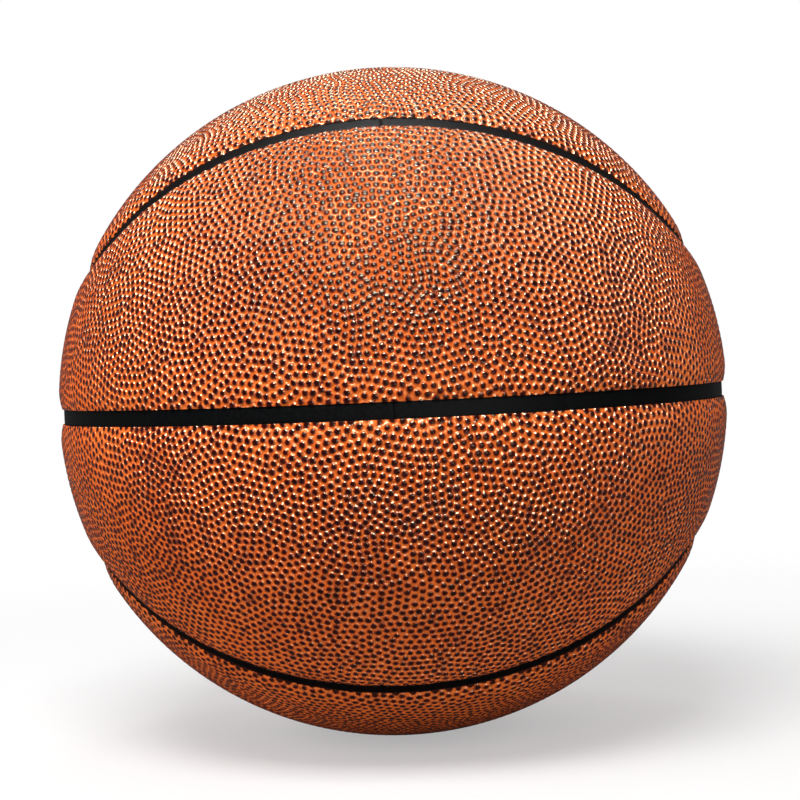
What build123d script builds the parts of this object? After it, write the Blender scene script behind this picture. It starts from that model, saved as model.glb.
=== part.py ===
from build123d import *
import os
from collections import namedtuple
from math import asin, atan, cos, degrees, radians, sin, sqrt, tan

# An eight-panel basketball, size 7: bladder, valve, winding, carcass, seam strips and cover panels.
# Millimetres, +Z up, origin at the ball's centre, front towards -Y, left and right as seen from the front.
# The middle seam lies in the XY plane, the pole seam in the XZ plane, and a loop seam goes round each pole.

# Cover
ball_diameter = 242.0
panel_thickness = 2.4
panel_edge_drop = 1.2
panel_shoulder = 7.5
shoulder_lead = 0.1
shoulder_angle = 4.0

# Seams, with angles in degrees and latitudes measured from the middle seam
seam_width = 5.4
strip_thickness = 0.6
loop_front_latitude = 50.9
loop_side_latitude = 23.9
loop_front_tilt = 44.4

# Layers under the cover, each a bond gap away from the next
carcass_thickness = 1.1
winding_thickness = 0.6
bladder_thickness = 0.9
bond_gap = 0.1

# Valve, in the middle of a back panel
valve_latitude = 25.0
needle_channel_diameter = 2.2
needle_channel_length = 14.0
funnel_diameter = 4.0
funnel_depth = 0.8
core_head_diameter = 8.0
core_head_recess = 0.4
core_shank_diameter = 6.4
core_length = 21.0
core_tip_diameter = 3.0
core_tip_length = 5.0
core_slit_width = 0.3
core_bead_radius = 0.8
core_bead_depth = 8.0
core_fit_gap = 0.1
housing_wall = 2.0
housing_floor = 1.4
housing_tip_room = 1.5
housing_outlet_diameter = 4.4
flange_diameter = 27.0
flange_thickness = 1.2

# How far a cutting body reaches past what it cuts
overrun = 2.0

# Radii of the layers, from the crown of the cover inwards
ball_radius = ball_diameter / 2
bed_radius = ball_radius - panel_thickness
strip_radius = bed_radius + strip_thickness
carcass_radius = bed_radius - bond_gap
winding_radius = carcass_radius - carcass_thickness - bond_gap
bladder_radius = winding_radius - winding_thickness - bond_gap
air_radius = bladder_radius - bladder_thickness

# Radii and heights along the valve's axis that more than one piece uses
core_radius = core_shank_diameter / 2
core_top = ball_radius - core_head_recess
core_tip = core_top - core_length
bore_radius = core_radius + core_fit_gap
stem_radius = bore_radius + housing_wall
stem_top = sqrt(carcass_radius ** 2 - stem_radius ** 2)
core_seat = stem_top + bond_gap
bead_height = core_seat - core_bead_depth

# A stretch of seam is part of a circle about an axis through the ball's centre. reach is the angle from the
# axis to the circle, start the direction from the axis to where the stretch begins, sweep how far it turns.
SeamArc = namedtuple("SeamArc", "axis start reach sweep")
middle_seam = SeamArc(Vector(0, 0, 1), Vector(0, -1, 0), 90, 180)
pole_seam = SeamArc(Vector(0, -1, 0), Vector(1, 0, 0), 90, 180)


def upper_loop_arcs():
    """The front and the side arc of the upper loop, over its front right quarter, tangent to each other."""
    tilt = radians(loop_front_tilt)
    lead = radians(loop_front_tilt - loop_front_latitude + loop_side_latitude)
    side_tilt = atan((cos(lead) - cos(tilt)) / sin(lead))
    front_turn = degrees(atan(tan(side_tilt) / sin(tilt)))
    side_turn = degrees(atan(tan(tilt) / sin(side_tilt)))
    front_axis = Vector(0, sin(tilt), cos(tilt))
    front_start = Vector(0, -cos(tilt), sin(tilt))
    side_axis = Vector(sin(side_tilt), 0, cos(side_tilt))
    side_end = Vector(cos(side_tilt), 0, -sin(side_tilt))
    side_start = side_end.rotate(Axis((0, 0, 0), side_axis), -side_turn)
    front = SeamArc(front_axis, front_start, 90 - loop_front_latitude + loop_front_tilt, front_turn)
    side = SeamArc(side_axis, side_start, 90 - loop_side_latitude - degrees(side_tilt), side_turn)
    return [front, side]


def along(section, arc):
    """Turns a section, drawn with x across the seam and y outwards, along a stretch of seam."""
    reach = radians(arc.reach)
    upright = Plane(origin=(0, 0, 0), x_dir=(cos(reach), 0, -sin(reach)), z_dir=(0, -1, 0))
    stretch = revolve(upright * section, Axis.Z, arc.sweep)
    return Plane(origin=(0, 0, 0), x_dir=arc.start, z_dir=arc.axis) * stretch


def band_section(width, low_radius, high_radius):
    """Section of a strip, or of the room it lies in, between two radii."""
    def corner(side, radius):
        return (side * width / 2, sqrt(radius ** 2 - (width / 2) ** 2))

    return make_face([
        ThreePointArc(corner(-1, low_radius), (0, low_radius), corner(1, low_radius)),
        Line(corner(1, low_radius), corner(1, high_radius)),
        ThreePointArc(corner(1, high_radius), (0, high_radius), corner(-1, high_radius)),
        Line(corner(-1, high_radius), corner(-1, low_radius)),
    ])


def gap_section():
    """Section of the space between two panels: a straight gap that opens out over their shoulders."""
    half_width = seam_width / 2
    edge_height = sqrt((ball_radius - panel_edge_drop) ** 2 - half_width ** 2)
    turn = (half_width + panel_shoulder) / ball_radius
    slope = turn - radians(shoulder_angle)
    lead_radius = ball_radius + shoulder_lead
    floor = bed_radius - overrun
    roof = ball_radius + overrun

    def shoulder(side):
        crown = (side * lead_radius * sin(turn), lead_radius * cos(turn))
        return TangentArc(crown, (side * half_width, edge_height), tangent=(-side * cos(slope), sin(slope)))

    right, left = shoulder(1), shoulder(-1)
    walls = Polyline(right @ 1, (half_width, floor), (-half_width, floor), left @ 1)
    cover = Polyline(left @ 0, ((left @ 0).X, roof), ((right @ 0).X, roof), right @ 0)
    return make_face([right, walls, left, cover])


def mirror_left(shape):
    return mirror(shape, about=Plane.YZ)


def mirror_back(shape):
    return mirror(shape, about=Plane.XZ)


def mirror_down(shape):
    return mirror(shape, about=Plane.XY)


def front_upper_panels():
    """The cover over the front upper quarter, cut along its seams: the long and the D-shaped panel."""
    wall = make_face([
        Line((bed_radius, 0), (ball_radius, 0)),
        CenterArc((0, 0), ball_radius, 0, 90),
        Line((0, ball_radius), (0, bed_radius)),
        CenterArc((0, 0), bed_radius, 0, 90),
    ])
    cover = Rotation(0, 0, 180) * revolve(Plane.XZ * wall, Axis.Z, 180)
    gap = gap_section()
    right_gaps = [along(gap, arc) for arc in [middle_seam] + upper_loop_arcs()]
    left_gaps = [mirror_left(piece) for piece in right_gaps]
    return (cover - (right_gaps + left_gaps + [along(gap, pole_seam)])).solids().sort_by(Axis.Z)


def upper_loop_right(section):
    """The right half of the upper loop, from the middle of the front to the middle of the back."""
    front, side = [along(section, arc) for arc in upper_loop_arcs()]
    quarter = front + side
    return quarter + mirror_back(quarter)


def pole_strips(section, room_section):
    """The upper half of the pole seam's strip, cut where others cross it: left, top and right piece."""
    loop_room = upper_loop_right(room_section)
    middle_room = along(room_section, middle_seam)
    rooms = [loop_room, mirror_left(loop_room), middle_room, mirror_left(middle_room)]
    return (along(section, pole_seam) - rooms).solids().sort_by(Axis.X)


def valve_place():
    """The frame of the valve: its Z axis points out through the middle of the back upper panel."""
    latitude = radians(valve_latitude)
    return Plane(origin=(0, 0, 0), x_dir=(1, 0, 0), z_dir=(0, cos(latitude), sin(latitude)))


def turned_on_valve(outline):
    """Turns an outline, with x from the valve's axis and y from the ball's centre, about that axis."""
    return valve_place() * revolve(Plane.XZ * make_face(outline), Axis.Z)


def valve_hole(radius):
    """A hole through the wall of the ball, on the valve's axis."""
    depth = ball_radius - air_radius + overrun + overrun
    return valve_place() * Pos(0, 0, air_radius - overrun + depth / 2) * Cylinder(radius, depth)


def valve_core():
    """A rubber plug with a flat head, a bead that holds it and a slit tip that a needle opens."""
    channel_radius = needle_channel_diameter / 2
    head_radius = core_head_diameter / 2
    funnel_foot = core_top - funnel_depth
    channel_foot = funnel_foot - needle_channel_length
    upper = Polyline(
        (0, channel_foot),
        (channel_radius, channel_foot),
        (channel_radius, funnel_foot),
        (funnel_diameter / 2, core_top),
        (head_radius, core_top),
        (head_radius, core_seat),
        (core_radius, core_seat),
        (core_radius, bead_height + core_bead_radius),
    )
    bead = ThreePointArc(
        (core_radius, bead_height + core_bead_radius),
        (core_radius + core_bead_radius, bead_height),
        (core_radius, bead_height - core_bead_radius),
    )
    lower = Polyline(
        (core_radius, bead_height - core_bead_radius),
        (core_radius, core_tip + core_tip_length),
        (core_tip_diameter / 2, core_tip),
        (0, core_tip),
        (0, channel_foot),
    )
    slit_height = channel_foot - core_tip + overrun
    slit = Pos(0, 0, channel_foot - slit_height / 2) * Box(core_slit_width, core_tip_diameter, slit_height)
    return turned_on_valve([upper, bead, lower]) - valve_place() * slit


def valve_housing():
    """A rubber boot for the core, whose round flange is bonded to the inside of the bladder."""
    flange_radius = air_radius - bond_gap
    flange_foot_radius = flange_radius - flange_thickness
    flange_turn = asin(flange_diameter / 2 / flange_radius)
    boot_foot = core_tip - housing_tip_room - housing_floor
    groove_radius = core_bead_radius + core_fit_gap
    groove_rise = sqrt(groove_radius ** 2 - core_fit_gap ** 2)

    def on_flange(radius, turn):
        return (radius * sin(turn), radius * cos(turn))

    def flange_face(radius):
        stem_turn = asin(stem_radius / radius)
        middle = (stem_turn + flange_turn) / 2
        return [on_flange(radius, turn) for turn in (stem_turn, middle, flange_turn)]

    top = flange_face(flange_radius)
    foot = flange_face(flange_foot_radius)
    stem = Polyline(
        (bore_radius, bead_height + groove_rise),
        (bore_radius, stem_top),
        (stem_radius, stem_top),
        top[0],
    )
    boot = Polyline(
        foot[0],
        (stem_radius, boot_foot + housing_floor),
        (stem_radius - housing_floor, boot_foot),
        (housing_outlet_diameter / 2, boot_foot),
        (housing_outlet_diameter / 2, boot_foot + housing_floor),
        (bore_radius, boot_foot + housing_floor),
        (bore_radius, bead_height - groove_rise),
    )
    groove = ThreePointArc(boot @ 1, (core_radius + groove_radius, bead_height), stem @ 0)
    flange = [ThreePointArc(*top), Line(top[-1], foot[-1]), ThreePointArc(*reversed(foot))]
    return turned_on_valve([stem] + flange + [boot, groove])


def layer(outer_radius, thickness):
    """A closed layer of the ball's wall, with the hole that the valve's stem passes through."""
    return Sphere(outer_radius) - Sphere(outer_radius - thickness) - valve_hole(stem_radius + bond_gap)


def cover_panels():
    """All eight panels, from the two of the front upper quarter."""
    long_panel, end_panel = front_upper_panels()
    long_back = mirror_back(long_panel)
    end_back = mirror_back(end_panel)
    return {
        "front_upper_panel": long_panel,
        "front_lower_panel": mirror_down(long_panel),
        "back_upper_panel": long_back - valve_hole(core_head_diameter / 2 + core_fit_gap),
        "back_lower_panel": mirror_down(long_back),
        "top_front_panel": end_panel,
        "top_back_panel": end_back,
        "bottom_front_panel": mirror_down(end_panel),
        "bottom_back_panel": mirror_down(end_back),
    }


def seam_strips():
    """The twelve strips that lie in the gaps between the panels, bonded to the carcass."""
    strip = band_section(seam_width - bond_gap - bond_gap, bed_radius, strip_radius)
    room = band_section(seam_width, bed_radius - overrun, strip_radius + overrun)
    middle = along(strip, middle_seam)
    loop = upper_loop_right(strip)
    left_side, top, right_side = pole_strips(strip, room)
    return {
        "middle_strip_right": middle,
        "middle_strip_left": mirror_left(middle),
        "upper_loop_strip_right": loop,
        "upper_loop_strip_left": mirror_left(loop),
        "lower_loop_strip_right": mirror_down(loop),
        "lower_loop_strip_left": mirror_down(mirror_left(loop)),
        "top_pole_strip": top,
        "bottom_pole_strip": mirror_down(top),
        "upper_side_strip_right": right_side,
        "upper_side_strip_left": left_side,
        "lower_side_strip_right": mirror_down(right_side),
        "lower_side_strip_left": mirror_down(left_side),
    }


def inner_pieces():
    """What lies under the cover: the airtight bladder with its valve, the winding and the carcass."""
    return {
        "bladder": layer(bladder_radius, bladder_thickness),
        "thread_winding": layer(winding_radius, winding_thickness),
        "carcass": layer(carcass_radius, carcass_thickness),
        "valve_housing": valve_housing(),
        "valve_core": valve_core(),
    }


os.makedirs("parts", exist_ok=True)
for node, shape in (cover_panels() | seam_strips() | inner_pieces()).items():
    export_step(shape, f"parts/{node}.step")
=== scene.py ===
from collections import namedtuple
from math import asin, atan, atan2, ceil, cos, pi, radians, sin, sqrt

import bmesh
import bpy
import numpy as np
from mathutils import Matrix, Vector
from mathutils.geometry import delaunay_2d_cdt
from mathutils.kdtree import KDTree


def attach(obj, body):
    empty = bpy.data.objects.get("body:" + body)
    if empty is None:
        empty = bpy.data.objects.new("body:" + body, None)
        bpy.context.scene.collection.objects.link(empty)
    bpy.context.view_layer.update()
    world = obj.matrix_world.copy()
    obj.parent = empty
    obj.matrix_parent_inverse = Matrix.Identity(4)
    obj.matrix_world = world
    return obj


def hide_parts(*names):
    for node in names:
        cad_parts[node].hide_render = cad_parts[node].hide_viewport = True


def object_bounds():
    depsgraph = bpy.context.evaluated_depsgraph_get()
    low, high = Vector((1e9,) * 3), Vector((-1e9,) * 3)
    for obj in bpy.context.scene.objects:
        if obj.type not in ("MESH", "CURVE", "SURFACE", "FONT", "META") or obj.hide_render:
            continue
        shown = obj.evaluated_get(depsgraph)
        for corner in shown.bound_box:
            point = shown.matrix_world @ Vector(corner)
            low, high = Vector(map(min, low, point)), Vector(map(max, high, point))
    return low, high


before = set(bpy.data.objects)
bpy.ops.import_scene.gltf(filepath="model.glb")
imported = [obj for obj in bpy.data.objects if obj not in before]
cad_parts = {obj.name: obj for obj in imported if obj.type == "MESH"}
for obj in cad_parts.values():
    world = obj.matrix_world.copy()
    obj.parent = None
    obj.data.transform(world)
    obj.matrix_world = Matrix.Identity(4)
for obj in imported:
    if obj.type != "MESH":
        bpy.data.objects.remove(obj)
cad_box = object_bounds()

# The ball, in metres and radians, to the sizes of the frame's solids
ball_radius = 0.121
panel_thickness = 0.0024
panel_edge_drop = 0.0012
panel_shoulder = 0.0075
seam_width = 0.0054
strip_thickness = 0.0006
bond_gap = 0.0001
loop_front_latitude = radians(50.9)
loop_side_latitude = radians(23.9)
loop_front_tilt = radians(44.4)
valve_latitude = radians(25.0)
valve_hole_radius = 0.0041
end_panel_tilt = radians(18.0)

bed_radius = ball_radius - panel_thickness
edge_radius = ball_radius - panel_edge_drop
strip_radius = bed_radius + strip_thickness
half_seam = asin(seam_width / 2 / edge_radius)

# The cover's grain of round pebbles, with distances from a pebble's middle as shares of the pitch
pebble_pitch = 0.00268
pebble_height = 0.0005
pebble_flank_share = 0.45
pebble_spread_share = 0.1
crown_share = 0.3
pebble_size_spread = 0.1
pebble_seed = 11
pebble_tries = 80000
relax_rounds = 80
relax_step = 0.25
relax_reach = 1.25

# How much steeper a pebble's flanks are shaded than they are, so that small highlights show
pebble_steepening = 2.1

# Rings of corners round each pebble, and the most of the way to the next pebble, or to the middle between
# three, that a ring takes up
upper_ring_share = 0.32
upper_ring_limit = 0.36
lower_ring_share = 0.455
lower_ring_limit = 0.46
lower_ring_middle_limit = 0.85

# How the panels' edges are divided, and how near to one a pebble keeps its own corner of the mesh
edge_spacing = 0.0016
edge_clear = 0.0005
lining_thinning = 5
hole_steps = 40
wall_map_width = 0.0015

# Corners of the panels' maps that the pebbled face with the cut edges, and the lining, fill
FACE_MAP_LOW, FACE_MAP_HIGH = (0.005, 0.13), (0.995, 0.995)
LINING_MAP_LOW, LINING_MAP_HIGH = (0.005, 0.005), (0.995, 0.115)

# The strips in the seams
strip_corner_radius = 0.00022
strip_corner_steps = 4
strip_top_steps = 6
strip_spacing = 0.0012
strip_end_length = 0.00018
strip_end_height_share = 0.72
strip_sharp_angle = radians(50)

# Finishes, with colours as seen on a screen, and places on the grain as shares of the pitch
crown_tones = (32, 2, 3), (52, 6, 5)
# The red-brown ring round each pebble's dark top, between these two places, is painted shade of the flanks
# between pebbles
flank_painted_shade_tone = (140, 40, 10)
flank_painted_shade_places = 0.3, 0.36
ground_tones = (234, 106, 29), (240, 114, 33)
ground_places = 0.385, 0.465
grain_waver = 0.05
crown_gloss = 0.16
ground_gloss = 1.0
leather_roughness = 0.2
leather_roughness_spread = 0.03
leather_ior = 1.6
gloss_tint = (1, 0.93, 0.64, 1)
sheen_weight = 0.2
sheen_roughness = 0.4
sheen_tint = (1, 0.3, 0.12, 1)
backing_tones = (48, 18, 10), (66, 28, 15)
backing_gloss = 0.1
rubber_roughness_spread = 0.12
rubber_gloss = 0.06
yarn_tones = (176, 170, 158), (226, 222, 212)
yarn_turns = 320.0

# The stage, as the camera sees it, as it lights matt surfaces and as gloss mirrors it
floor_size = 8.0
floor_seen = (0.9, 0.9, 0.9, 1)
floor_bounce = (0.53, 0.53, 0.53, 1)
floor_mirrored = (0.06, 0.06, 0.06, 1)
floor_white_share = 0.4
floor_fade_start = 0.12
floor_fade_end = 0.6
ambient_strength = 0.08
room_front, room_back = -0.3, 0.5
mirrored_white = 0.22
floor_mirror_start, floor_mirror_end = 0.0, 0.8
floor_mirror_least = 0.045

# The camera, with the aim to the right of and above the ball's middle, as the photograph frames it
camera_distance = 0.6655
camera_elevation = radians(1.35)
camera_roll = radians(2.51)
camera_aim = (0.0025, 0, 0.0003)
sensor_width = 36.0
focal_length = 81.35

# Lamps that face the ball: place, width and height, power, and whether gloss mirrors them and matt surfaces
# scatter their light
Softbox = namedtuple("Softbox", "place size power mirrored scattered")
SOFTBOXES = {
    "key": Softbox((-0.15, -0.55, 0.85), (0.6, 0.4), 10.0, mirrored=False, scattered=True),
    "key_glow": Softbox((-0.05, -0.6, 0.8), (0.45, 0.3), 24.0, mirrored=True, scattered=False),
    "top_glow": Softbox((-0.05, 0.05, 1.0), (0.5, 0.3), 8.0, mirrored=True, scattered=False),
    "back_top": Softbox((0, 0.5, 0.8), (0.2, 0.15), 0.7, mirrored=True, scattered=True),
    "front_glint": Softbox((0.216, -0.55, -0.05), (0.2, 0.06), 0.8, mirrored=True, scattered=False),
    "front_fill": Softbox((-0.1, -0.9, 0.12), (1.4, 0.8), 3.9, mirrored=False, scattered=True),
    "left_rim": Softbox((-0.95, -0.15, 0.2), (0.6, 0.9), 5.2, mirrored=False, scattered=True),
    "right_rim": Softbox((0.95, -0.15, 0.2), (0.6, 0.9), 2.7, mirrored=False, scattered=True),
    "back_fill": Softbox((0.1, 0.8, 0.46), (1.4, 0.8), 3.6, mirrored=False, scattered=True),
}

VALVE_QUARTER = "back_upper"

# Materials of a panel, in the order of its slots
GROUND_FINISH, CROWN_FINISH, BACKING_FINISH = 0, 1, 2

X_AXIS, Y_AXIS, Z_AXIS = np.eye(3)

# What the triangulation covers, and how near points on the unit ball are one
WHOLE_HULL, ONLY_INSIDE = 0, 1
MERGE_DISTANCE = 1e-9
SHORT_STEP = 1e-4

# Half turns that carry the front upper quarter of the cover to each of the four
QUARTER_TURNS = {
    "front_upper": np.array([1, 1, 1]),
    "front_lower": np.array([-1, 1, -1]),
    "back_upper": np.array([-1, -1, 1]),
    "back_lower": np.array([1, -1, -1]),
}
END_PANEL_NODES = {
    "front_upper": "top_front_panel",
    "front_lower": "bottom_front_panel",
    "back_upper": "top_back_panel",
    "back_lower": "bottom_back_panel",
}


# Directions and circles on the ball


def unit(vectors):
    return vectors / np.linalg.norm(vectors, axis=-1, keepdims=True)


def mirror_x(points):
    return points * np.array([-1, 1, 1])


def circles_meet(axis_a, reach_a, axis_b, reach_b, near):
    """Where two circles, each a reach from its axis, cross on the side of near."""
    along = axis_a @ axis_b
    a, b = cos(reach_a), cos(reach_b)
    flat = ((a - b * along) * axis_a + (b - a * along) * axis_b) / (1 - along ** 2)
    across = unit(np.cross(axis_a, axis_b))
    return flat + across * np.sign(across @ near) * sqrt(1 - flat @ flat)


def turned(axis, point, angles):
    """A point turned about an axis by each of some angles."""
    along = axis * (axis @ point)
    out = point - along
    angles = np.asarray(angles)[:, None]
    return along + np.cos(angles) * out + np.sin(angles) * np.cross(axis, out)


def arc(axis, start, end, spacing):
    """Points at about a spacing from start to end on the circle about an axis, without the end."""
    u = start - axis * (axis @ start)
    v = end - axis * (axis @ end)
    turn = atan2(axis @ np.cross(u, v), u @ v)
    steps = max(1, ceil(abs(turn) * np.linalg.norm(u) * ball_radius / spacing))
    return turned(axis, start, turn * np.arange(steps) / steps)


def chain(axes, corners, spacing):
    """Arcs from corner to corner, each about its own axis."""
    stretches = zip(axes, corners, corners[1:])
    return np.concatenate([arc(axis, start, end, spacing) for axis, start, end in stretches])


class LoopSeam:
    """The upper loop seam: a front arc that runs smoothly into an arc on each side."""

    def __init__(self):
        lead = loop_front_tilt - loop_front_latitude + loop_side_latitude
        side_tilt = atan((cos(lead) - cos(loop_front_tilt)) / sin(lead))
        self.front_axis = np.array([0, sin(loop_front_tilt), cos(loop_front_tilt)])
        self.front_reach = pi / 2 - loop_front_latitude + loop_front_tilt
        self.side_axis = np.array([sin(side_tilt), 0, cos(side_tilt)])
        self.side_reach = pi / 2 - loop_side_latitude - side_tilt
        self.divide = np.cross(self.front_axis, self.side_axis)

    def joint(self, offset):
        """Where the front arc meets the right side arc, with the loop widened by an angle."""
        outwards = unit(self.side_axis - self.front_axis * (self.side_axis @ self.front_axis))
        reach = self.front_reach + offset
        return cos(reach) * self.front_axis + sin(reach) * outwards

    def angle_outside(self, points):
        """How far points of the front upper quarter lie outside the loop, as an angle."""
        folded = np.stack([np.abs(points[:, 0]), points[:, 1], points[:, 2]], axis=1)
        front = np.arccos(np.clip(folded @ self.front_axis, -1, 1)) - self.front_reach
        side = np.arccos(np.clip(folded @ self.side_axis, -1, 1)) - self.side_reach
        return np.where(folded @ self.divide > 0, side, front)


loop_seam = LoopSeam()
pole_edge_reach = pi / 2 - half_seam


# Panels of the front upper quarter, on the unit ball


def loop_head(offset):
    """The right end of a panel's edge along the loop, where it reaches the pole seam."""
    side_reach = loop_seam.side_reach + offset
    return circles_meet(-Y_AXIS, pole_edge_reach, loop_seam.side_axis, side_reach, X_AXIS - Z_AXIS)


class LongPanel:
    """Between the middle seam, the pole seam and the loop."""

    middle = np.array([0, -cos(valve_latitude), sin(valve_latitude)])

    def edge_distances(self, points):
        """How far points lie inside each of the panel's edges."""
        return ball_radius * np.stack([
            np.arcsin(points[:, 2]) - half_seam,
            np.arcsin(-points[:, 1]) - half_seam,
            loop_seam.angle_outside(points) - half_seam,
        ])

    def outline(self):
        """The panel's edge, anticlockwise as seen from outside."""
        foot = circles_meet(Z_AXIS, pole_edge_reach, -Y_AXIS, pole_edge_reach, X_AXIS)
        head = loop_head(half_seam)
        joint = loop_seam.joint(half_seam)
        right = [foot, head, joint]
        left = [mirror_x(point) for point in reversed(right)]
        side, front = loop_seam.side_axis, loop_seam.front_axis
        axes = [-Y_AXIS, side, front, mirror_x(side), -Y_AXIS, Z_AXIS]
        return chain(axes, right + left + [foot], edge_spacing)


class EndPanel:
    """The D-shaped panel between the loop and the pole seam."""

    middle = np.array([0, -sin(end_panel_tilt), cos(end_panel_tilt)])

    def edge_distances(self, points):
        """How far points lie inside each of the panel's edges."""
        return ball_radius * np.stack([
            np.arcsin(-points[:, 1]) - half_seam,
            -loop_seam.angle_outside(points) - half_seam,
        ])

    def outline(self):
        """The panel's edge, anticlockwise as seen from outside."""
        right = [loop_seam.joint(-half_seam), loop_head(-half_seam)]
        left = [mirror_x(point) for point in reversed(right)]
        side, front = loop_seam.side_axis, loop_seam.front_axis
        axes = [side, -Y_AXIS, mirror_x(side), front]
        return chain(axes, right + left + right[:1], edge_spacing)


# Flat maps of a panel, about its middle


def map_places(points, middle):
    """Places of points to the right of and above a panel's middle, and their nearness to it."""
    up = np.cross(middle, X_AXIS)
    return np.stack([points @ X_AXIS, points @ up], axis=1), (1 + points @ middle)[:, None]


def angle_map(points, middle):
    """A flat map that keeps angles, so that triangles stay well shaped."""
    places, nearness = map_places(points, middle)
    return 2 * places / nearness


def area_map(points, middle):
    """A flat map that keeps areas, so that pebbles all get the same room."""
    places, nearness = map_places(points, middle)
    return places * np.sqrt(2 / nearness)


def triangles_between(points, middle, rings=()):
    """Well shaped triangles between points, and where edges of closed rings are given, only inside those."""
    flat = [Vector(place) for place in angle_map(points, middle)]
    extent = ONLY_INSIDE if len(rings) else WHOLE_HULL
    return np.array(delaunay_2d_cdt(flat, list(rings), [], extent, MERGE_DISTANCE)[2])


def triangle_edges(triangles):
    """Each edge once, lower corner first, and the edge from each triangle's corner to the next."""
    pairs = np.sort(np.stack([triangles, np.roll(triangles, -1, axis=1)], axis=2), axis=2)
    edges, index = np.unique(pairs.reshape(-1, 2), axis=0, return_inverse=True)
    return edges, index.reshape(-1, 3)


# Pebbles


def pebble_sites(panel, random):
    """Middles of evenly spaced pebbles over a panel and a pitch beyond its edges."""
    tries = unit(random.normal(size=(pebble_tries, 3)))
    tries = tries[panel.edge_distances(tries).min(axis=0) > -pebble_pitch]
    area = 4 * pi * ball_radius ** 2 * len(tries) / pebble_tries
    sites = tries[:round(area / (pebble_pitch ** 2 * sqrt(3) / 2))]
    spacing = pebble_pitch / ball_radius
    free = panel.edge_distances(sites).min(axis=0)[:, None] > -pebble_pitch / 2
    for _ in range(relax_rounds):
        edges, _ = triangle_edges(triangles_between(sites, panel.middle))
        spans = sites[edges[:, 1]] - sites[edges[:, 0]]
        lengths = np.linalg.norm(spans, axis=1)
        push = relax_step * np.maximum(relax_reach * spacing / lengths - 1, 0)
        moves = np.zeros_like(sites)
        np.add.at(moves, edges[:, 1], spans * push[:, None])
        np.add.at(moves, edges[:, 0], -spans * push[:, None])
        sites = unit(sites + moves * free)
    return sites


class Grain:
    """Pebbles that differ a little in size and tone."""

    def __init__(self, sites, random):
        self.sites = sites
        self.sizes = 1 + pebble_size_spread * random.uniform(-1, 1, len(sites))
        self.tones = random.uniform(0, 1, len(sites))
        self.tree = KDTree(len(sites))
        for index, site in enumerate(sites):
            self.tree.insert(site, index)
        self.tree.balance()

    def at(self, points):
        """For each point, the nearest pebble, and the share of the pitch from its middle."""
        found = [self.tree.find(point)[1:] for point in points]
        nearest = np.array([index for index, _ in found])
        distances = np.array([distance for _, distance in found]) * ball_radius
        return nearest, distances / pebble_pitch / self.sizes[nearest]


def pebble_rise(shares):
    """Height of the grain, from 0 between pebbles to 1 on their middles."""
    return (1 - np.tanh((shares - pebble_flank_share) / pebble_spread_share)) / 2


def pebble_slope(shares):
    """How steeply the grain falls away from a pebble's middle."""
    steepest = pebble_steepening * pebble_height / (2 * pebble_spread_share * pebble_pitch)
    return steepest / np.cosh((shares - pebble_flank_share) / pebble_spread_share) ** 2


def divide_triangles(points, triangles):
    """Divides triangles between pebbles so that each pebble gets a top, two rings of flanks and a foot."""
    edges, edge_of = triangle_edges(triangles)
    starts, ends = points[edges[:, 0]], points[edges[:, 1]]
    lengths = np.linalg.norm(ends - starts, axis=1)
    centres = points[triangles].mean(axis=1)
    pitch = pebble_pitch / ball_radius

    def on_edges(share, most):
        part = np.minimum(share * pitch / lengths, most)[:, None]
        near_start = starts + part * (ends - starts)
        near_end = ends + part * (starts - ends)
        return np.stack([near_start, near_end], axis=1).reshape(-1, 3)

    def towards_centres(share, most):
        spans = centres[:, None] - points[triangles]
        part = np.minimum(share * pitch / np.linalg.norm(spans, axis=2), most)[..., None]
        return (points[triangles] + part * spans).reshape(-1, 3)

    blocks = [
        points,
        on_edges(upper_ring_share, upper_ring_limit),
        on_edges(lower_ring_share, lower_ring_limit),
        towards_centres(lower_ring_share, lower_ring_middle_limit),
        centres,
    ]
    top, flank, sector, centre = np.cumsum([len(block) for block in blocks[:-1]])
    count = len(triangles)
    centre = centre + np.arange(count)
    sectors = sector + np.arange(3 * count).reshape(-1, 3)

    def ring(block, corner, other):
        """Points of a ring beside a corner, on the edge towards another corner."""
        side = edge_of[:, corner] if (corner + 1) % 3 == other else edge_of[:, other]
        return block + 2 * side + (triangles[:, corner] > triangles[:, other])

    faces = []
    outer_ring = []
    for corner in range(3):
        after, before = (corner + 1) % 3, (corner + 2) % 3
        top_after, top_before = ring(top, corner, after), ring(top, corner, before)
        flank_after, flank_before = ring(flank, corner, after), ring(flank, corner, before)
        middle = sectors[:, corner]
        faces += [
            (triangles[:, corner], top_after, top_before),
            (top_after, flank_after, middle),
            (top_after, middle, top_before),
            (top_before, middle, flank_before),
        ]
        outer_ring += [flank_before, middle, flank_after]
    for here, there in zip(outer_ring, outer_ring[1:] + outer_ring[:1]):
        faces.append((centre, here, there))
    corners = np.stack([np.stack(face, axis=1) for face in faces], axis=1).reshape(-1, 3)
    return unit(np.concatenate(blocks)), corners


# Panels as closed meshes


PanelMesh = namedtuple("PanelMesh", "points normals faces finishes map_places shares tones")


def closed_edges(start, count):
    """Edges of a ring of points that begins at an index."""
    return [(start + step, start + (step + 1) % count) for step in range(count)]


def border_edges(faces):
    """Edges of faces that no other face shares, in their direction round the face."""
    directed = np.concatenate([faces[:, [0, 1]], faces[:, [1, 2]], faces[:, [2, 0]]])
    size = faces.max() + 1
    keys = directed[:, 0] * size + directed[:, 1]
    reverse = directed[:, 1] * size + directed[:, 0]
    return directed[~np.isin(keys, reverse)]


def fit_map(places, low, high):
    """Stretches flat places to fill a part of the map."""
    least = places.min(axis=0)
    return low + (places - least) / (places.max(axis=0) - least) * (np.array(high) - low)


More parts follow.
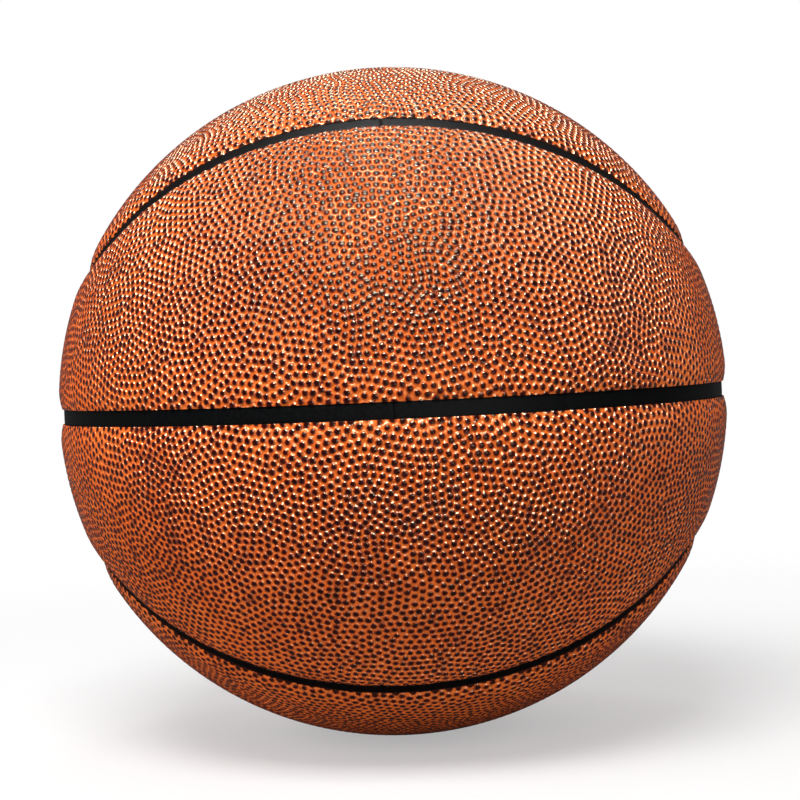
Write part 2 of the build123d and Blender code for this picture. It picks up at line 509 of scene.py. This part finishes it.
def towards_edge(panel, points):
    """Directions along the ball to a panel's nearest edge."""
    gains = []
    for axis in np.eye(3) * SHORT_STEP:
        ahead, behind = (panel.edge_distances(unit(points + step)).min(axis=0) for step in (axis, -axis))
        gains.append(behind - ahead)
    return unit(np.stack(gains, axis=1))


def pebbled_panel(panel, grain, hole_middle=None):
    """The mesh of a panel: its pebbled face, its cut edges and its lining on the bed."""

    def inside(points, clear):
        kept = panel.edge_distances(points).min(axis=0) > clear
        if hole_middle is not None:
            angles = np.arccos(np.clip(points @ hole_middle, -1, 1))
            kept &= angles * ball_radius > valve_hole_radius + clear
        return kept

    def fill(points, edges):
        triangles = triangles_between(points, panel.middle, edges)
        centres = unit(points[triangles].mean(axis=1))
        if hole_middle is None:
            return triangles
        return triangles[centres @ hole_middle < cos(valve_hole_radius / ball_radius)]

    rims = [panel.outline()]
    if hole_middle is not None:
        rim_start = turned(X_AXIS, hole_middle, [valve_hole_radius / ball_radius])[0]
        rims.append(turned(hole_middle, rim_start, np.linspace(0, 2 * pi, hole_steps, endpoint=False)))
    kept_sites = grain.sites[inside(grain.sites, edge_clear)]
    corners = np.concatenate(rims + [kept_sites])
    rim_starts = np.cumsum([0] + [len(rim) for rim in rims])
    edges = [edge for start, rim in zip(rim_starts, rims) for edge in closed_edges(start, len(rim))]
    directions, faces = divide_triangles(corners, fill(corners, edges))

    nearest, shares = grain.at(directions)
    rim_distances = np.clip(panel.edge_distances(directions).min(axis=0) / panel_shoulder, 0, 1)
    drop = panel_edge_drop * (1 - rim_distances) ** 2 + pebble_height * (1 - pebble_rise(shares))
    outer = directions * (ball_radius - drop)[:, None]
    from_pebble = directions - grain.sites[nearest]
    lengths = np.maximum(np.linalg.norm(from_pebble, axis=1, keepdims=True), MERGE_DISTANCE)
    flank_tilt = from_pebble / lengths * pebble_slope(shares)[:, None]
    shoulder_slope = 2 * panel_edge_drop / panel_shoulder * (1 - rim_distances)
    shoulder_tilt = towards_edge(panel, directions) * shoulder_slope[:, None]
    face_normals = unit(directions + flank_tilt + shoulder_tilt)

    borders = border_edges(faces)
    border_spans = directions[borders[:, 1]] - directions[borders[:, 0]]
    border_normals = unit(np.cross(border_spans, directions[borders[:, 0]]))
    foot_of = np.full(len(directions), -1)
    foot_of[borders[:, 0]] = np.arange(len(borders))
    lining_sites = kept_sites[::lining_thinning]
    lining = np.concatenate([directions[borders[:, 0]], lining_sites])
    feet = foot_of[borders]
    lining_faces = fill(lining, feet.tolist())[:, ::-1]
    feet = feet + len(directions)
    walls = np.concatenate([
        np.stack([borders[:, 1], borders[:, 0], feet[:, 0]], axis=1),
        np.stack([borders[:, 1], feet[:, 0], feet[:, 1]], axis=1),
    ])

    face_places = area_map(directions, panel.middle)
    lining_places = area_map(lining, panel.middle)
    spans = face_places[borders[:, 1]] - face_places[borders[:, 0]]
    outwards = unit(np.stack([spans[:, 1], -spans[:, 0]], axis=1))
    wall_places = lining_places.copy()
    wall_places[:len(borders)] += outwards * wall_map_width / ball_radius
    upper_map = fit_map(np.concatenate([face_places, wall_places]), FACE_MAP_LOW, FACE_MAP_HIGH)
    lining_map = fit_map(lining_places, LINING_MAP_LOW, LINING_MAP_HIGH)
    lining_map = np.concatenate([np.zeros_like(face_places), lining_map])
    lining_corners = lining_faces + len(directions)

    hidden = np.zeros(len(lining))
    on_crowns = shares[faces].mean(axis=1) < crown_share
    finishes = np.where(on_crowns, CROWN_FINISH, GROUND_FINISH)
    unseen_finishes = np.full(len(walls) + len(lining_faces), BACKING_FINISH)
    return PanelMesh(
        points=np.concatenate([outer, lining * bed_radius]),
        normals=np.concatenate([face_normals, border_normals, -lining_sites]),
        faces=np.concatenate([faces, walls, lining_corners]),
        finishes=np.concatenate([finishes, unseen_finishes]).astype(np.int32),
        map_places=np.concatenate([upper_map[faces], upper_map[walls], lining_map[lining_corners]]),
        shares=np.concatenate([shares, hidden + 1]),
        tones=np.concatenate([grain.tones[nearest], hidden]),
    )


def new_object(name, mesh, node, slot, *materials):
    """Puts a mesh in the scene in place of a node of the frame."""
    for material in materials:
        mesh.materials.append(material)
    piece = bpy.data.objects.new(name, mesh)
    bpy.context.scene.collection.objects.link(piece)
    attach(piece, "root")
    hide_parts(node)
    return piece


def add_panel(node, shape, turn, materials):
    """Adds one panel, turned from the front upper quarter to its own."""
    mesh = bpy.data.meshes.new(node + "_skin")
    count = len(shape.faces)
    mesh.vertices.add(len(shape.points))
    mesh.vertices.foreach_set("co", (shape.points * turn).ravel())
    mesh.loops.add(3 * count)
    mesh.loops.foreach_set("vertex_index", shape.faces.ravel())
    mesh.polygons.add(count)
    mesh.polygons.foreach_set("loop_start", 3 * np.arange(count))
    mesh.polygons.foreach_set("use_smooth", np.ones(count, dtype=bool))
    mesh.polygons.foreach_set("material_index", shape.finishes)
    mesh.uv_layers.new(name="OFBake").data.foreach_set("uv", shape.map_places.ravel())
    for name, values in (("grain", shape.shares), ("tone", shape.tones)):
        mesh.attributes.new(name, "FLOAT", "POINT").data.foreach_set("value", values)
    mesh.update(calc_edges=True)
    mesh.normals_split_custom_set_from_vertices((shape.normals * turn).astype(np.float32))
    return new_object(node + "_skin", mesh, node, "cover_leather", *materials)


# Seam strips


def strip_section():
    """Points across a strip and outwards from the ball's centre, with rounded upper edges."""
    half_width = seam_width / 2 - bond_gap
    flat_half = half_width - strip_corner_radius
    shoulder = sqrt(strip_radius ** 2 - flat_half ** 2)
    turns = np.linspace(0, pi / 2, strip_corner_steps + 1)
    corner = np.stack([
        flat_half + strip_corner_radius * np.cos(turns),
        shoulder - strip_corner_radius + strip_corner_radius * np.sin(turns),
    ], axis=1)
    across = np.linspace(flat_half, -flat_half, strip_top_steps + 1)[1:-1]
    top = np.stack([across, np.sqrt(strip_radius ** 2 - across ** 2)], axis=1)
    foot = [[half_width, bed_radius]]
    right = np.concatenate([foot, corner])
    return np.concatenate([right, top, right[::-1] * np.array([-1, 1])])


def strip_path(axes, corners):
    """Directions along a seam and, square to each, across it, with a short step at either end."""
    points = []
    acrosses = []
    for axis, start, end in zip(axes, corners, corners[1:]):
        stretch = np.concatenate([arc(axis, start, end, strip_spacing), [end]])
        rise = axis @ start
        points.append(stretch)
        acrosses.append((stretch * rise - axis) / sqrt(1 - rise ** 2))
    points = np.concatenate([points[0]] + [more[1:] for more in points[1:]])
    acrosses = np.concatenate([acrosses[0]] + [more[1:] for more in acrosses[1:]])
    part = strip_end_length / strip_spacing
    for first, second in ((0, 1), (-1, -2)):
        place = 1 if first == 0 else len(points) - 1
        points = np.insert(points, place, points[first] + part * (points[second] - points[first]), axis=0)
        acrosses = np.insert(acrosses, place, acrosses[first], axis=0)
    return unit(points), acrosses


def add_strip(node, axes, corners, turn, rubber):
    """Adds one strip, swept along its seam and turned or mirrored to its place."""
    section = strip_section()
    points, acrosses = strip_path(axes, corners)
    sections = np.repeat(section[None], len(points), axis=0)
    for end in (0, -1):
        sections[end, :, 1] = bed_radius + (section[:, 1] - bed_radius) * strip_end_height_share
    rings = points[:, None] * sections[..., 1:] + acrosses[:, None] * sections[..., :1]
    builder = bmesh.new()
    corners_of_rings = [[builder.verts.new(point) for point in ring] for ring in rings * turn]
    for here, there in zip(corners_of_rings, corners_of_rings[1:]):
        for a, b, c, d in zip(here, here[1:] + here[:1], there[1:] + there[:1], there):
            builder.faces.new((a, b, c, d)).smooth = True
    builder.faces.new(corners_of_rings[0])
    builder.faces.new(corners_of_rings[-1])
    bmesh.ops.recalc_face_normals(builder, faces=builder.faces)
    mesh = bpy.data.meshes.new(node + "_rubber")
    builder.to_mesh(mesh)
    builder.free()
    mesh.set_sharp_from_angle(angle=strip_sharp_angle)
    return new_object(node + "_rubber", mesh, node, "seam_rubber", rubber)


def add_strips(rubber):
    """Adds the twelve strips, each from its place in the front right or upper right of the ball."""
    side, front = loop_seam.side_axis, loop_seam.front_axis
    to_back = np.array([1, -1, 1])
    apex = np.array([0, -cos(loop_front_latitude), sin(loop_front_latitude)])
    joint = loop_seam.joint(0)
    loop_run = ([front, side, front * to_back], [apex, joint, joint * to_back, apex * to_back])

    def on_pole_seam(latitude):
        return np.array([cos(latitude), 0, sin(latitude)])

    top_end = on_pole_seam(loop_side_latitude + half_seam)
    top_run = ([-Y_AXIS], [top_end, mirror_x(top_end)])
    side_ends = [on_pole_seam(half_seam), on_pole_seam(loop_side_latitude - half_seam)]
    middle_run = ([Z_AXIS, Z_AXIS], [-Y_AXIS, X_AXIS, Y_AXIS])
    for side_name, across in (("right", 1), ("left", -1)):
        add_strip(f"middle_strip_{side_name}", *middle_run, np.array([across, 1, 1]), rubber)
        for level, pole, up in (("upper", "top", 1), ("lower", "bottom", -1)):
            turn = np.array([across, 1, up])
            add_strip(f"{level}_loop_strip_{side_name}", *loop_run, turn, rubber)
            add_strip(f"{level}_side_strip_{side_name}", [-Y_AXIS], side_ends, turn, rubber)
            if across == 1:
                add_strip(f"{pole}_pole_strip", *top_run, turn, rubber)


# Finishes


def srgb(tone):
    """A colour as seen on a screen, in the units of a shader."""

    def linear(value):
        share = value / 255
        return share / 12.92 if share <= 0.04045 else ((share + 0.055) / 1.055) ** 2.4

    return (*map(linear, tone), 1)


class Finish:
    """A material with one Principled shader, and short ways to add nodes to it."""

    def __init__(self, name):
        self.material = bpy.data.materials.new(name)
        self.material.use_nodes = True
        self.tree = self.material.node_tree
        self.shader = self.tree.nodes["Principled BSDF"]
        self.places = self.node("TexCoord").outputs["Object"]

    def set(self, socket, value):
        """Sets a socket of the shader to a value, or to what a node gives."""
        self.feed(self.shader.inputs[socket], value)

    def feed(self, socket, value):
        if isinstance(value, bpy.types.NodeSocket):
            self.tree.links.new(value, socket)
        else:
            socket.default_value = value

    def node(self, kind, inputs=(), **settings):
        made = self.tree.nodes.new("ShaderNode" + kind)
        for name, value in settings.items():
            setattr(made, name, value)
        for name, value in dict(inputs).items():
            self.feed(made.inputs[name], value)
        return made

    def attribute(self, name):
        return self.node("Attribute", attribute_name=name).outputs["Fac"]

    def noise(self, scale, detail=3.0):
        inputs = {"Vector": self.places, "Scale": scale, "Detail": detail}
        return self.node("TexNoise", inputs).outputs["Fac"]

    def step(self, value, low, high, to_low=0.0, to_high=1.0):
        """Goes smoothly from one number to another as a value goes from low to high."""
        inputs = {"Value": value, "From Min": low, "From Max": high, "To Min": to_low, "To Max": to_high}
        return self.node("MapRange", inputs, interpolation_type="SMOOTHSTEP").outputs["Result"]

    def sum(self, a, b):
        return self.node("Math", {0: a, 1: b}, operation="ADD").outputs[0]

    def product(self, a, b):
        return self.node("Math", {0: a, 1: b}, operation="MULTIPLY").outputs[0]

    def mix(self, factor, a, b):
        """A colour between two."""
        return self.node("Mix", {0: factor, 6: a, 7: b}, data_type="RGBA").outputs[2]

    def bump(self, height, strength, distance):
        inputs = {"Height": height, "Strength": strength, "Distance": distance}
        self.set("Normal", self.node("Bump", inputs).outputs["Normal"])


def cover_leather(name, gloss):
    """Two-tone synthetic leather: dark pebbles in a bright orange ground, each ringed by painted shade."""
    finish = Finish(name)
    waver = finish.step(finish.noise(800), 0.3, 0.7, -grain_waver, grain_waver)
    grain = finish.sum(finish.attribute("grain"), waver)
    ground = finish.step(grain, *ground_places)
    # A red-brown ring of painted shade on the flanks round each pebble's dark top
    painted_shade_ring = finish.step(grain, *flank_painted_shade_places)
    tone = finish.attribute("tone")
    crown_colour = finish.mix(tone, *map(srgb, crown_tones))
    patches = finish.step(finish.noise(60, 4), 0.35, 0.65)
    ground_colour = finish.mix(patches, *map(srgb, ground_tones))
    painted_shade_colour = finish.mix(painted_shade_ring, crown_colour, srgb(flank_painted_shade_tone))
    finish.set("Base Color", finish.mix(ground, painted_shade_colour, ground_colour))
    roughest = leather_roughness + leather_roughness_spread
    finish.set("Roughness", finish.step(patches, 0, 1, leather_roughness, roughest))
    finish.set("IOR", leather_ior)
    finish.set("Specular IOR Level", gloss)
    finish.set("Specular Tint", gloss_tint)
    finish.set("Sheen Weight", sheen_weight)
    finish.set("Sheen Roughness", sheen_roughness)
    finish.set("Sheen Tint", sheen_tint)
    finish.bump(finish.noise(5200, 2), 0.12, 0.0001)
    return finish.material


def panel_backing():
    """The cut edge and the foam lining of the cover."""
    finish = Finish("panel_backing")
    patches = finish.step(finish.noise(900, 4), 0.3, 0.7)
    finish.set("Base Color", finish.mix(patches, *map(srgb, backing_tones)))
    finish.set("Roughness", finish.step(patches, 0, 1, 0.7, 0.85))
    finish.set("Specular IOR Level", backing_gloss)
    finish.bump(finish.noise(3000, 2), 0.2, 0.0001)
    return finish.material


def black_rubber(name, dark, pale, rough, mottle_scale):
    """Moulded rubber with a mottled bloom."""
    finish = Finish(name)
    bloom = finish.step(finish.noise(mottle_scale, 5), 0.35, 0.72)
    finish.set("Base Color", finish.mix(bloom, srgb(dark), srgb(pale)))
    finish.set("Roughness", finish.step(bloom, 0, 1, rough, rough + rubber_roughness_spread))
    finish.set("Specular IOR Level", rubber_gloss)
    finish.bump(finish.noise(mottle_scale * 4, 3), 0.15, 0.0001)
    return finish.material


def winding_yarn():
    """Pale yarn wound in crossing turns."""
    finish = Finish("winding_yarn")
    inputs = {"Vector": finish.places, "Scale": yarn_turns, "Distortion": 3.0, "Detail": 2.0}
    turns = finish.node("TexWave", inputs).outputs["Fac"]
    finish.set("Base Color", finish.mix(turns, *map(srgb, yarn_tones)))
    finish.set("Roughness", finish.step(turns, 0, 1, 0.7, 0.6))
    finish.bump(turns, 0.5, 0.0002)
    return finish.material


# Stage


def add_floor():
    """A floor with the ball's shadow, which fades to white away from the ball, and is darker in gloss."""
    bpy.ops.mesh.primitive_plane_add(size=floor_size, location=(0, 0, cad_box[0][2]))
    floor = bpy.context.object
    floor.name = "floor"
    finish = Finish("floor")
    parts = finish.node("SeparateXYZ", {"Vector": finish.places})
    mirrored = finish.step(
        parts.outputs["Y"], floor_mirror_start, floor_mirror_end, floor_mirror_least, mirrored_white)
    seen = seen_rays(finish.tree, mirrored)
    scattered = finish.node("LightPath").outputs["Is Diffuse Ray"]
    unseen = finish.mix(scattered, floor_mirrored, floor_bounce)
    finish.set("Base Color", finish.mix(seen, unseen, floor_seen))
    finish.set("Roughness", 0.9)
    finish.set("Specular IOR Level", 0.0)
    distance = finish.node("VectorMath", {0: finish.places}, operation="LENGTH").outputs["Value"]
    white = finish.step(distance, floor_fade_start, floor_fade_end, floor_white_share, 1.0)
    glow = finish.node("Emission", {"Color": (1, 1, 1, 1), "Strength": 1.0})
    shown = finish.node("MixShader", {0: finish.product(seen, white)})
    finish.feed(shown.inputs[1], finish.shader.outputs["BSDF"])
    finish.feed(shown.inputs[2], glow.outputs["Emission"])
    finish.feed(finish.tree.nodes["Material Output"].inputs["Surface"], shown.outputs["Shader"])
    floor.data.materials.append(finish.material)


def seen_rays(tree, mirrored_share=1.0):
    """1 for rays from the camera, and a share for those from gloss or glass, which see some of the white."""
    path = tree.nodes.new("ShaderNodeLightPath")

    def combined(operation, a, b):
        node = tree.nodes.new("ShaderNodeMath")
        node.operation = operation
        tree.links.new(a, node.inputs[0])
        if isinstance(b, float):
            node.inputs[1].default_value = b
        else:
            tree.links.new(b, node.inputs[1])
        return node.outputs[0]

    mirrored = combined("MAXIMUM", path.outputs["Is Glossy Ray"], path.outputs["Is Transmission Ray"])
    mirrored = combined("MULTIPLY", mirrored, mirrored_share)
    return combined("MAXIMUM", path.outputs["Is Camera Ray"], mirrored)


def set_world():
    """White for the camera, faint light all round for matt surfaces, and a room dark in front for gloss."""
    world = bpy.data.worlds.new("studio")
    world.use_nodes = True
    bpy.context.scene.world = world
    tree = world.node_tree
    ambient = tree.nodes["Background"]
    scattered = tree.nodes.new("ShaderNodeLightPath").outputs["Is Diffuse Ray"]
    strength = tree.nodes.new("ShaderNodeMath")
    strength.operation = "MULTIPLY"
    strength.inputs[1].default_value = ambient_strength
    tree.links.new(scattered, strength.inputs[0])
    tree.links.new(strength.outputs[0], ambient.inputs["Strength"])
    ambient.inputs["Color"].default_value = (1, 1, 1, 1)
    white = tree.nodes.new("ShaderNodeBackground")
    white.inputs["Color"].default_value = (1, 1, 1, 1)
    shown = tree.nodes.new("ShaderNodeMixShader")
    direction = tree.nodes.new("ShaderNodeTexCoord").outputs["Generated"]
    parts = tree.nodes.new("ShaderNodeSeparateXYZ")
    tree.links.new(direction, parts.inputs["Vector"])
    back = tree.nodes.new("ShaderNodeMapRange")
    back.inputs["From Min"].default_value = room_front
    back.inputs["From Max"].default_value = room_back
    back.inputs["To Max"].default_value = mirrored_white
    tree.links.new(parts.outputs["Y"], back.inputs["Value"])
    tree.links.new(seen_rays(tree, back.outputs["Result"]), shown.inputs[0])
    tree.links.new(ambient.outputs["Background"], shown.inputs[1])
    tree.links.new(white.outputs["Background"], shown.inputs[2])
    tree.links.new(shown.outputs["Shader"], tree.nodes["World Output"].inputs["Surface"])


def add_softbox(name, softbox):
    """A rectangular lamp that faces the ball and that the camera doesn't see."""
    data = bpy.data.lights.new(name, "AREA")
    data.shape = "RECTANGLE"
    data.size, data.size_y = softbox.size
    data.energy = softbox.power
    lamp = bpy.data.objects.new(name, data)
    lamp.location = softbox.place
    lamp.visible_camera = False
    lamp.visible_glossy = softbox.mirrored
    lamp.visible_diffuse = softbox.scattered
    lamp.rotation_euler = (-Vector(softbox.place)).to_track_quat("-Z", "Y").to_euler()
    bpy.context.scene.collection.objects.link(lamp)


def add_camera():
    """The photograph's view: almost level with the middle seam, which rises to the right."""
    data = bpy.data.cameras.new("camera")
    data.sensor_width = sensor_width
    data.lens = focal_length
    camera = bpy.data.objects.new("camera", data)
    place = Vector((0, -cos(camera_elevation), sin(camera_elevation))) * camera_distance
    facing = (Vector(camera_aim) - place).to_track_quat("-Z", "Y").to_matrix()
    facing = facing @ Matrix.Rotation(-camera_roll, 3, "Z")
    camera.matrix_world = Matrix.Translation(place) @ facing.to_4x4()
    bpy.context.scene.collection.objects.link(camera)
    bpy.context.scene.camera = camera


# The ball on its stage


def add_panels():
    """Adds the eight panels, each a turned copy of the front upper long or end panel."""
    random = np.random.default_rng(pebble_seed)
    ground = cover_leather("cover_leather", ground_gloss)
    crown = cover_leather("cover_crowns", crown_gloss)
    materials = ground, crown, panel_backing()
    long_panel, end_panel = LongPanel(), EndPanel()
    long_grain = Grain(pebble_sites(long_panel, random), random)
    end_grain = Grain(pebble_sites(end_panel, random), random)
    long_shape = pebbled_panel(long_panel, long_grain)
    end_shape = pebbled_panel(end_panel, end_grain)
    valve_shape = pebbled_panel(long_panel, long_grain, long_panel.middle)
    for quarter, turn in QUARTER_TURNS.items():
        shape = valve_shape if quarter == VALVE_QUARTER else long_shape
        add_panel(f"{quarter}_panel", shape, turn, materials)
        add_panel(END_PANEL_NODES[quarter], end_shape, turn, materials)


def finish_node(node, material):
    """Gives a node of the frame a better material."""
    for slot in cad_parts[node].material_slots:
        slot.material = material


add_panels()
seam_rubber = black_rubber(
    "seam_rubber", dark=(4, 5, 6), pale=(11, 12, 13), rough=0.5, mottle_scale=1500)
add_strips(seam_rubber)
bladder_rubber = black_rubber(
    "bladder_rubber", dark=(14, 14, 15), pale=(26, 26, 28), rough=0.4, mottle_scale=120)
finish_node("bladder", bladder_rubber)
finish_node("thread_winding", winding_yarn())
carcass_rubber = black_rubber(
    "carcass_rubber", dark=(16, 16, 17), pale=(32, 32, 33), rough=0.6, mottle_scale=240)
finish_node("carcass", carcass_rubber)
valve_rubber = black_rubber(
    "valve_rubber", dark=(20, 21, 22), pale=(38, 39, 40), rough=0.45, mottle_scale=900)
finish_node("valve_housing", valve_rubber)
finish_node("valve_core", valve_rubber)

add_floor()
set_world()
for lamp_name, softbox in SOFTBOXES.items():
    add_softbox(lamp_name, softbox)
add_camera()

view = bpy.context.scene.view_settings
view.view_transform = "Standard"
